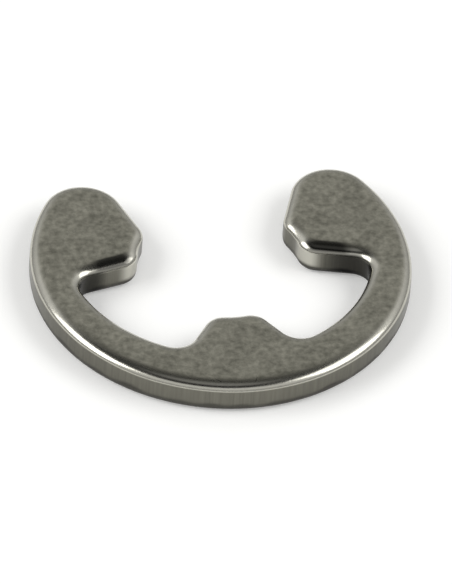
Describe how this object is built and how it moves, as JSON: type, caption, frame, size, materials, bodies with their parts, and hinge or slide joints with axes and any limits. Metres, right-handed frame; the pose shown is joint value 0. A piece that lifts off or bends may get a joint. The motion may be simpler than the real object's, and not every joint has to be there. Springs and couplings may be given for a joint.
{
  "type": "e clip",
  "caption": "Flat spring steel retaining ring, open at one side, with inward prongs that snap into a shaft's groove.",
  "frame": {"origin": "on the axis of the shaft that the clip grips, in the plane of the clip's lower face", "axes": "+Z along the shaft's axis, out of the upper face; +Y out of the open mouth; +X across the clip"},
  "size_m": [0.009, 0.0074, 0.0008],
  "materials": {
    "spring_steel": "hardened spring steel, barrel tumbled, thin dark oxide and oil"
  },
  "bodies": {
    "root": {"e_clip": "spring_steel"}
  },
  "joints": []
}
